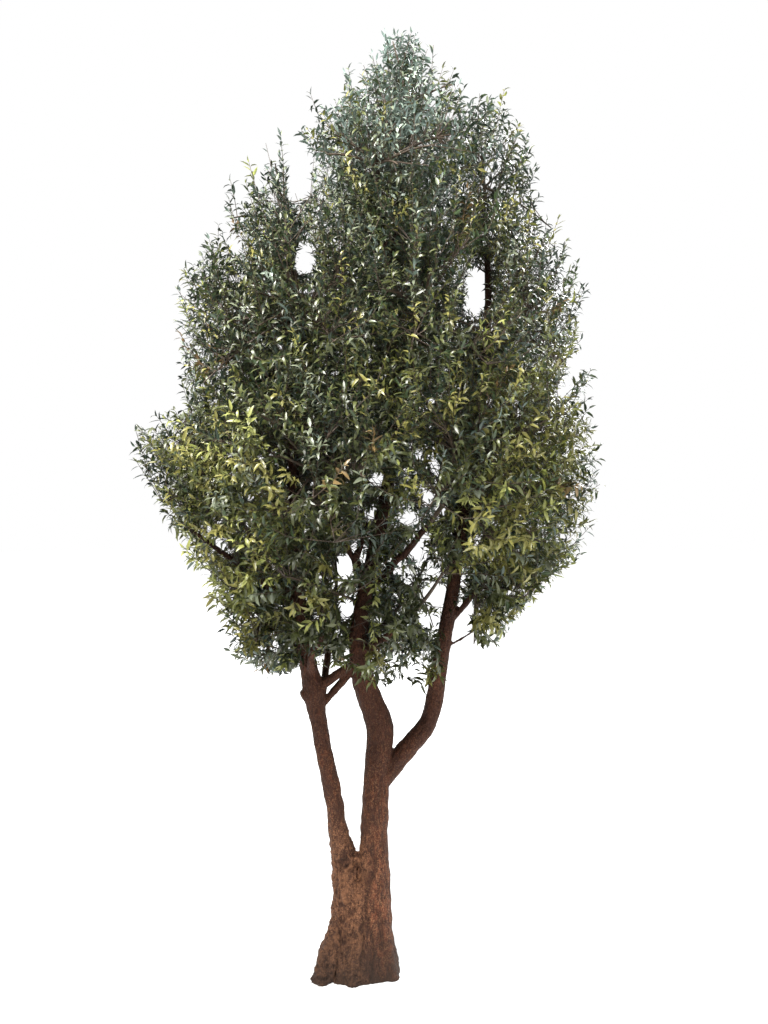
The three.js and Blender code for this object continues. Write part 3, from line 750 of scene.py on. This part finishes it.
def tube(points, radii, sides):
    """A closed tube round a line of points, with a radius for each point and side."""
    along = unit(np.gradient(points, axis=0))
    across = unit(np.cross(along, [0.0, 1.0, 0.0]))
    ring = circle(across, np.cross(across, along), sides)
    skin = (points[:, None] + ring * radii[..., None]).reshape(-1, 3)
    following = (np.arange(sides) + 1) % sides
    faces = []
    for start in range(0, len(skin) - sides, sides):
        faces += [[start + i, start + j, start + sides + j, start + sides + i] for i, j in enumerate(following)]
    return skin, [*faces, list(range(sides))[::-1], list(range(len(skin) - sides, len(skin)))]


def stem_tube(name):
    points, radii = stem_line(name)
    angles = np.arange(STEM_SIDES) * 2 * math.pi / STEM_SIDES
    flare = np.clip(1 - points[:, 2] / FLARE_HEIGHT, 0, 1)[:, None]
    turned = FLARE_LOBES * angles + points[:, 2:] / FLARE_TWIST
    lobes = 1 + FLARE_DEPTH * flare * np.cos(turned)
    waist = np.interp(points[:, 2:], WAIST, [0, WAIST_DEPTH, WAIST_DEPTH, 0])
    above = points[:, 2] > -TRUNK_DEPTH
    return tube(points[above], (radii[:, None] * lobes - waist + SMOOTHING_LOSS)[above], STEM_SIDES)


def small_tube(start, middle, end, radii, wander=0):
    shares = np.linspace(0, 1, LIMB_RINGS)
    points = on_curve(np.array([start, middle, end], float), shares)
    turns = np.array([noise.noise_vector(Vector(point / WANDER_SIZE)) for point in points])
    points = points + turns * wander * np.sin(shares * math.pi)[:, None]
    radii = (between(radii, shares) + SMOOTHING_LOSS)[:, None]
    return tube(points, np.repeat(radii, LIMB_SIDES, axis=1), LIMB_SIDES)


def limb_mesh(masses):
    """The stems, boughs and small limbs as closed tubes in one mesh, in metres."""
    limbs = [stem_tube(name) for name in STEMS]
    for mass in masses:
        if mass.on_bough:
            middle = (mass.foot + mass.entry) / 2 - UP * BOUGH_SAG * np.linalg.norm(mass.entry - mass.foot)
            limbs.append(small_tube(mass.foot, middle, mass.entry, BOUGH_RADII, BOUGH_WANDER))
    limbs += [small_tube(*line, (first, last)) for *line, first, last in SMALL_LIMBS]
    points, faces = [], []
    for skin, own in limbs:
        faces += [[len(points) + corner for corner in face] for face in own]
        points += list(skin * METRE)
    mesh = bpy.data.meshes.new("limbs")
    mesh.from_pydata(points, [], faces)
    return mesh


def clamped(share):
    return max(0.0, min(1.0, share))


def raised(form, point, wind, ridged=False):
    """How far a pattern raises the bark at a point, smoothly or in winding ridges."""
    height, repeats, stretch, winding = form
    value = noise.noise(Vector((point.x, point.y, point.z * stretch)) * repeats + wind * winding)
    return (1 - RIDGE_STEEPNESS * abs(value)) * height / 2 if ridged else value * height


def bark_relief(point):
    """How far the bark stands out at a point in metres, in all and in its fine forms alone."""
    wind = noise.noise_vector(point * WINDINGS)
    swelling = raised(SWELLING, point, wind) + raised(BUMPS, point, wind)
    flute = raised(FLUTES, point, wind, True)
    grain = raised(GRAIN, point, wind)
    low = clamped((FOLDED_HEIGHT - point.z) / FOLD_FADES[0])
    edge = SEAM[0] + SEAM[1] * math.sin(point.z * SEAM[2])
    crease = -CREASE[0] * low * clamped(-point.y / FRONT) * math.exp(-((point.x - edge) / CREASE[1]) ** 2)
    folded = low * clamped((edge - point.x) / FOLD_FADES[1])
    if not folded:
        thickness = max(LEAST_RELIEF, min(1.0, THIN_HEIGHT - point.z))
        return (swelling + flute) * thickness + grain + crease, flute * thickness + grain + crease
    wrinkles = raised(FOLDS, point, wind, True) + raised(WRINKLES, point, wind, True)
    fine = flute + wrinkles * folded + grain * (1 + folded) + crease
    return swelling + raised(LUMPS, point, wind) * folded + fine, fine


def applied(piece):
    """The bark's mesh, with the piece's modifiers applied."""
    mesh = bpy.data.meshes.new_from_object(piece.evaluated_get(bpy.context.evaluated_depsgraph_get()))
    mesh.name = "bark"
    return mesh


def make_bark(masses):
    """The limbs' skin, fused at the forks, smoothed, and raised into bark."""
    rough = linked("limbs", limb_mesh(masses))
    remesh = rough.modifiers.new("fuse", "REMESH")
    remesh.mode = "VOXEL"
    remesh.voxel_size = BARK_VOXEL
    smooth = rough.modifiers.new("smooth", "SMOOTH")
    smooth.factor = SMOOTHING
    smooth.iterations = BARK_SMOOTHINGS
    mesh = applied(rough)
    bpy.data.objects.remove(rough)
    normals = [normal.vector.copy() for normal in mesh.vertex_normals]
    reliefs = [bark_relief(vertex.co) for vertex in mesh.vertices]
    for vertex, normal, (height, _) in zip(mesh.vertices, normals, reliefs):
        vertex.co += normal * height
    relief = mesh.attributes.new("relief", "FLOAT", "POINT")
    relief.data.foreach_set("value", [fine / RELIEF_RANGE for _, fine in reliefs])
    cut_level(mesh)
    return coarser_above(mesh)


def cut_level(mesh):
    """Cuts the skin off at the ground and closes it there."""
    work = bmesh.new()
    work.from_mesh(mesh)
    parts = work.verts[:] + work.edges[:] + work.faces[:]
    cut = bmesh.ops.bisect_plane(work, geom=parts, plane_co=(0, 0, 0), plane_no=(0, 0, 1), clear_inner=True)
    edges = [part for part in cut["geom_cut"] if isinstance(part, bmesh.types.BMEdge)]
    bmesh.ops.edgeloop_fill(work, edges=edges)
    bmesh.ops.triangulate(work, faces=[face for face in work.faces if len(face.verts) > 4])
    work.to_mesh(mesh)
    work.free()


def coarser_above(skin):
    """The bark with fewer faces where leaves hide it."""
    bark = linked("bark", skin)
    hidden = bark.vertex_groups.new(name="hidden")
    for above, weight in ((True, 1.0), (False, FINE_COARSENING)):
        own = [vertex.index for vertex in skin.vertices if (vertex.co.z > FINE_HEIGHT) == above]
        hidden.add(own, weight, "REPLACE")
    coarser = bark.modifiers.new("coarser", "DECIMATE")
    coarser.vertex_group = "hidden"
    coarser.ratio = min(1.0, BARK_FACES / (2 * len(skin.polygons)))
    mesh = applied(bark)
    bark.modifiers.clear()
    bark.vertex_groups.clear()
    bark.data = mesh
    mesh.polygons.foreach_set("use_smooth", [True] * len(mesh.polygons))
    return bark


# ---- Materials ----

def new_material(name, roughness):
    material = bpy.data.materials.new(name)
    material.use_nodes = True
    shader = material.node_tree.nodes["Principled BSDF"]
    shader.inputs["Roughness"].default_value = roughness
    return material, material.node_tree, shader


def add_node(tree, kind, inputs=None, **settings):
    """A node with its settings, and inputs that are each a number, a colour or another node's socket."""
    node = tree.nodes.new("ShaderNode" + kind)
    for name, value in settings.items():
        setattr(node, name, value)
    for name, value in (inputs or {}).items():
        if isinstance(value, bpy.types.NodeSocket):
            tree.links.new(value, node.inputs[name])
        else:
            node.inputs[name].default_value = value
    return node


def ramped(tree, value, low, high, first=0.0, last=1.0):
    """A socket that runs from first to last as a value goes from low to high."""
    limits = {"From Min": low, "From Max": high, "To Min": first, "To Max": last}
    return add_node(tree, "MapRange", {"Value": value, **limits}, clamp=True).outputs["Result"]


def noise_factor(tree, place, scale, detail, low, high):
    """A soft pattern that runs from 0 to 1 between two levels of a noise texture."""
    texture = add_node(tree, "TexNoise", {"Vector": place, "Scale": scale, "Detail": detail})
    return ramped(tree, texture.outputs["Fac"], low, high)


def mixed(tree, factor, first, second):
    """The socket of a mix of two colours, each a colour or a socket."""
    return add_node(tree, "Mix", {0: factor, 6: first, 7: second}, data_type="RGBA").outputs[2]


def colour(red, green, blue):
    return (red, green, blue, 1)


def bark_material():
    """Grainy reddish brown, redder right of the seam and greyer left of it, with painted shade in hollows, at
    the foot and on the stems, and painted highlights on ridges.
    """
    material, tree, shader = new_material("bark", 0.75)
    shader.inputs["Specular IOR Level"].default_value = 0.25
    place = add_node(tree, "TexCoord").outputs["Object"]
    axes = add_node(tree, "SeparateXYZ", {"Vector": place}).outputs
    height = axes["Z"]
    relief = add_node(tree, "Attribute", attribute_name="relief").outputs["Fac"]
    fibres = add_node(tree, "Mapping", {"Vector": place, "Scale": (1, 1, 0.4)}).outputs["Vector"]
    patches = noise_factor(tree, place, 9, 4, 0.38, 0.62)
    mottles = noise_factor(tree, fibres, 95, 10, 0.38, 0.62)
    fine = noise_factor(tree, place, 240, 8, 0.4, 0.62)
    specks = noise_factor(tree, fibres, 170, 9, 0.5, 0.6)
    stains = noise_factor(tree, fibres, 26, 7, 0.48, 0.62)
    base = mixed(tree, patches, colour(0.107, 0.032, 0.013), colour(0.152, 0.041, 0.015))
    redder, greyer = colour(0.178, 0.056, 0.026), colour(0.112, 0.056, 0.032)
    sides = mixed(tree, ramped(tree, axes["X"], 0.045, 0.005), redder, greyer)
    base = mixed(tree, ramped(tree, height, 0.62, 0.42, 0.0, 0.75), base, sides)
    base = mixed(tree, mottles, colour(0.05, 0.019, 0.01), base)
    # What a layer goes by, where it starts and is strongest, how strong it is there, and its colour.
    layers = (
        (fine, 0.4, 1.0, 0.74, (0.312, 0.145, 0.07)),
        (specks, 0.0, 1.0, 0.68, (0.024, 0.009, 0.005)),
        (stains, 0.0, 1.0, 0.68, (0.04, 0.015, 0.008)),
        (relief, 0.0, -0.9, 0.68, (0.02, 0.009, 0.005)),  # painted shade in the hollows
        (relief, 0.2, 1.1, 0.6, (0.292, 0.13, 0.061)),  # painted highlight on the ridges
        (height, 0.2, 0.0, 0.8, (0.026, 0.016, 0.011)),  # painted shadow at the foot
        (height, 0.36, 0.85, 0.7, (0.036, 0.011, 0.005)),  # painted shade on the stems, under the crown
        (height, 1.0, 1.6, 0.45, (0.02, 0.01, 0.007)),  # in the crown's shade
    )
    for value, start, full, strength, tint in layers:
        base = mixed(tree, ramped(tree, value, start, full, 0.0, strength), base, colour(*tint))
    tree.links.new(base, shader.inputs["Base Color"])
    rough = add_node(tree, "Bump", {"Strength": 0.8, "Distance": 0.006, "Height": mottles}).outputs["Normal"]
    grain = add_node(tree, "Bump", {"Strength": 0.6, "Distance": 0.002, "Height": fine, "Normal": rough})
    tree.links.new(grain.outputs["Normal"], shader.inputs["Normal"])
    return material


def mottled_material(name, roughness, scale, detail, low, high, dark, light):
    """A material in patches of two colours, with its nodes and its shader."""
    material, tree, shader = new_material(name, roughness)
    place = add_node(tree, "TexCoord").outputs["Object"]
    patches = noise_factor(tree, place, scale, detail, low, high)
    tree.links.new(mixed(tree, patches, colour(*dark), colour(*light)), shader.inputs["Base Color"])
    return material, tree, shader


def leaf_material(name, top, under):
    """A leaf's upper side with its paler midrib, and its duller underside."""
    material, tree, shader = new_material(name, 0.4)
    shader.inputs["Sheen Weight"].default_value = 0.04
    shader.inputs["Sheen Tint"].default_value = colour(0.8, 0.9, 1.0)
    place = add_node(tree, "TexCoord").outputs
    shades = noise_factor(tree, place["Object"], 48, 2, 0.34, 0.68)
    dark, light = [colour(*[share * part for part in top]) for share in LEAF_SHADES]
    pale = colour(*[min(1, RIB_SHADE[0] * part + RIB_SHADE[1]) for part in top])
    across = add_node(tree, "SeparateXYZ", {"Vector": place["UV"]}).outputs["X"]
    offset = add_node(tree, "Math", {0: across, 1: 0.5}, operation="SUBTRACT").outputs[0]
    apart = add_node(tree, "Math", {0: offset}, operation="ABSOLUTE").outputs[0]
    upper = mixed(tree, ramped(tree, apart, 0.03, 0.1, 0.45, 0.0), mixed(tree, shades, dark, light), pale)
    behind = add_node(tree, "NewGeometry").outputs["Backfacing"]
    tree.links.new(mixed(tree, behind, upper, colour(*under)), shader.inputs["Base Color"])
    return material


LEAF_SHADES = (0.45, 1.65)  # the darkest and the lightest of a leaf's colour
RIB_SHADE = (1.2, 0.08)  # times the leaf's colour, and how much lighter than that

# Leaf colours: [upper side, underside, usual share of the sprays].
LEAF_TINTS = {
    # deep: dark green, which low in the middle is painted shade
    "deep": [(0.014, 0.029, 0.015), (0.036, 0.042, 0.012), 0.38],
    "green": [(0.036, 0.06, 0.02), (0.067, 0.076, 0.018), 0.32],
    # grey: a lighter blue-green, which at the top and edges is painted sky sheen
    "grey": [(0.092, 0.126, 0.105), (0.13, 0.148, 0.094), 0.14],
    # pale: painted sky sheen, only at the crown's top and edges
    "pale": [(0.225, 0.295, 0.268), (0.245, 0.295, 0.232), 0.0],
    # olive: the leaves' own yellowish olive, and the painted glow of leaves lit through from behind
    "olive": [(0.13, 0.14, 0.027), (0.18, 0.168, 0.042), 0.1],
    # bright: yellow-green of new leaves, and the painted glow of leaves lit through from behind
    "bright": [(0.215, 0.238, 0.056), (0.245, 0.258, 0.072), 0.015],
    "ochre": [(0.15, 0.09, 0.03), (0.18, 0.12, 0.045), 0.01],
}

# Places where the tints change, most of them to paint light and shade: [x, z, half width, half height, what
# each tint gains there].
TINT_ZONES = [
    # On the right: olive leaves, and the painted glow of leaves lit through from behind.
    [600, 1620, 320, 450, {"olive": 0.86, "bright": 0.5, "grey": 0.22, "deep": -0.3}],
    # Low on the left: olive leaves, and the painted glow of leaves lit through from behind.
    [-430, 1450, 260, 330, {"olive": 0.54, "bright": 0.32, "grey": -0.05, "deep": -0.1}],
    # Low in the middle: painted shade, as more of the deep green.
    [60, 1330, 340, 400, {"deep": 0.78, "olive": 0.05, "grey": -0.11, "bright": 0.02}],
    [60, 2050, 280, 480, {"deep": 0.35, "bright": -0.02}],
    # At the top: painted sky sheen, as more of the grey and pale.
    [120, 3000, 380, 360, {"pale": 0.7, "grey": 0.9, "deep": -0.15}],
    # On the upper left: painted sky sheen.
    [-330, 2600, 260, 320, {"pale": 0.14, "grey": 0.4}],
    # At the left edge: painted sky sheen.
    [-620, 2150, 120, 380, {"pale": 0.2, "grey": 0.2}],
    # At the right edge: painted sky sheen.
    [780, 2250, 140, 450, {"pale": 0.12, "grey": 0.2}],
]
ZONE_REACH = 1.4  # how far out a zone still tells, as a share of its size
INNER_DEPTH = 170  # sprays that end deeper get more of the painted glow of leaves lit through from behind
INNER_GAINS = {"bright": 0.07, "olive": 0.15}


def tint_of(ends, chance):
    """The number of each spray's tint, by where its end is, which paints sky sheen, backlit glow and shade into
    the crown.
    """
    names = list(LEAF_TINTS)
    weights = np.tile([LEAF_TINTS[name][2] for name in names], (len(ends), 1))
    nearness = [np.clip(ZONE_REACH - oval_share(zone, ends[:, 0], ends[:, 2]), 0, 1) for zone in TINT_ZONES]
    gains = [zone[4] for zone in TINT_ZONES] + [INNER_GAINS]
    nearness.append((crown_depth(ends) > INNER_DEPTH) & (ends[:, 2] < SHOOT_HEIGHT))
    for near, own in zip(nearness, gains):
        for name, gain in own.items():
            weights[:, names.index(name)] += near * gain
    steps = np.cumsum(np.maximum(weights, 0), axis=1)
    drawn = chance.random(len(ends)) * steps[:, -1]
    return np.argmax(steps > drawn[:, None], axis=1)


# ---- The tree ----

def finished(piece, material, nodes):
    piece.data.materials.append(material)
    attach(piece, "root")
    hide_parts(*nodes)


def stem_points():
    """Points on the stems, where they run through the crown."""
    heights = np.arange(CROWN[0, 0], CROWN[-1, 0], STEM_STEP)
    stems = [(name, heights[heights < STEMS[name][-1][2]]) for name in STEMS]
    return np.array([stem_point(name, height) for name, own in stems for height in own])


def grow_tree():
    noise.seed_set(NOISE_SEED)
    wood_nodes = [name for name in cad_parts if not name.startswith("foliage")]
    foliage_nodes = [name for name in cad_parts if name.startswith("foliage")]
    places = [(ring, sector) for ring in RINGS for sector in ring[-1]]
    masses = [Mass(ring, sector, number + 1) for number, (ring, sector) in enumerate(places)]
    for mass in masses:
        mass.find_borders(masses)
        mass.seat_bough()
    finished(make_bark(masses), bark_material(), wood_nodes)
    carriers = [mass.carrier() for mass in masses]
    twigs = [mass.twig(carrier, i) for mass, carrier in zip(masses, carriers) for i in range(mass.twigs)]
    carriers = np.array(carriers)
    chance = np.random.default_rng(SEED)
    twigs = clear_of_ways(np.array([twig for twig in twigs if twig is not None]), chance, TWIG_TOLERANCE)
    feet = [on_curve(curves, share) for curves in (carriers, twigs) for share in SPRAY_FEET]
    sprays = grow_sprays(np.concatenate([*feet, stem_points()]), chance)
    sprays, leaves = grow_leaves(sprays, chance)
    wood = [tubes(carriers, *CARRIER_TUBE), tubes(twigs, *TWIG_TUBE), tubes(sprays, *SPRAY_TUBE)]
    brown = mottled_material("twig", 0.7, 30, 3, 0.35, 0.65, (0.032, 0.02, 0.012), (0.074, 0.05, 0.03))[0]
    finished(mesh_object("twigs", wood), brown, foliage_nodes)
    tints = tint_of(sprays[:, 2], chance)[leaves["spray"]]
    for number, (name, (top, under, _)) in enumerate(LEAF_TINTS.items()):
        material = leaf_material(f"leaf_{name}", top, under)
        own = np.flatnonzero(tints == number)
        for part, rows in enumerate(np.array_split(own, math.ceil(len(own) / MOST_LEAVES))):
            piece = leaf_mesh(f"leaves_{name}_{part + 1}", picked(leaves, rows))
            finished(piece, material, foliage_nodes)


# ---- Floor, light and camera ----

SKY_LIGHT = (0.243, 0.25, 0.252, 1)
FLOOR_RADIUS = 30
FLOOR_SIDES = 64
FLOOR_FADE = (0.9, 3.2)  # metres from the trunk, where the floor turns as white as the backdrop
LENS = 27.07

# The lamps: name, place, where they point, size, power and colour.
LAMPS = [
    ["key", (-1.4, -1.8, 4.4), (0.05, 0, 2.4), 1.4, 430, (1.0, 0.985, 0.96)],
    ["rim", (2.0, 1.8, 4.3), (0.05, 0, 2.2), 1.5, 380, (0.96, 0.98, 1.0)],
    ["fill", (2.6, -3.0, 1.6), (0.05, 0, 1.2), 2.4, 50, (1.0, 1.0, 1.0)],
]


def add_floor():
    greys = ((0.8, 0.8, 0.79), (0.84, 0.84, 0.83))
    material, tree, shader = mottled_material("floor", 0.9, 3, 2, 0.3, 0.7, *greys)
    place = add_node(tree, "TexCoord").outputs["Object"]
    away = add_node(tree, "VectorMath", {0: place}, operation="LENGTH").outputs["Value"]
    shader.inputs["Emission Color"].default_value = colour(1, 1, 1)
    tree.links.new(ramped(tree, away, *FLOOR_FADE), shader.inputs["Emission Strength"])
    mesh = bpy.data.meshes.new("floor")
    ring = circle(*np.eye(3)[:2], FLOOR_SIDES) * FLOOR_RADIUS
    mesh.from_pydata(ring, [], [list(range(FLOOR_SIDES))])
    mesh.materials.append(material)
    floor = linked("floor", mesh)


def add_lamp(name, place, target, size, power, tint):
    data = bpy.data.lights.new(name, "AREA")
    data.shape = "DISK"
    data.size = size
    data.energy = power
    data.color = tint
    lamp = linked(name, data)
    lamp.location = place
    lamp.rotation_euler = (Vector(target) - Vector(place)).to_track_quat("-Z", "Y").to_euler()


def add_sky():
    """Soft light from all round, and a white backdrop for the camera."""
    world = bpy.data.worlds.new("studio")
    world.use_nodes = True
    tree = world.node_tree
    shader = tree.nodes["Background"]
    seen = add_node(tree, "LightPath").outputs["Is Camera Ray"]
    tree.links.new(mixed(tree, seen, SKY_LIGHT, colour(1, 1, 1)), shader.inputs["Color"])
    bpy.context.scene.world = world


def add_camera():
    """Level with the middle of the tree."""
    data = bpy.data.cameras.new("camera")
    data.lens = LENS
    camera = linked("camera", data)
    camera.location = VIEWPOINT * METRE
    camera.rotation_euler = (math.pi / 2, 0, 0)
    bpy.context.scene.camera = camera


add_camera()
add_floor()
add_sky()
for lamp in LAMPS:
    add_lamp(*lamp)
bpy.context.scene.view_settings.view_transform = "Standard"
grow_tree()
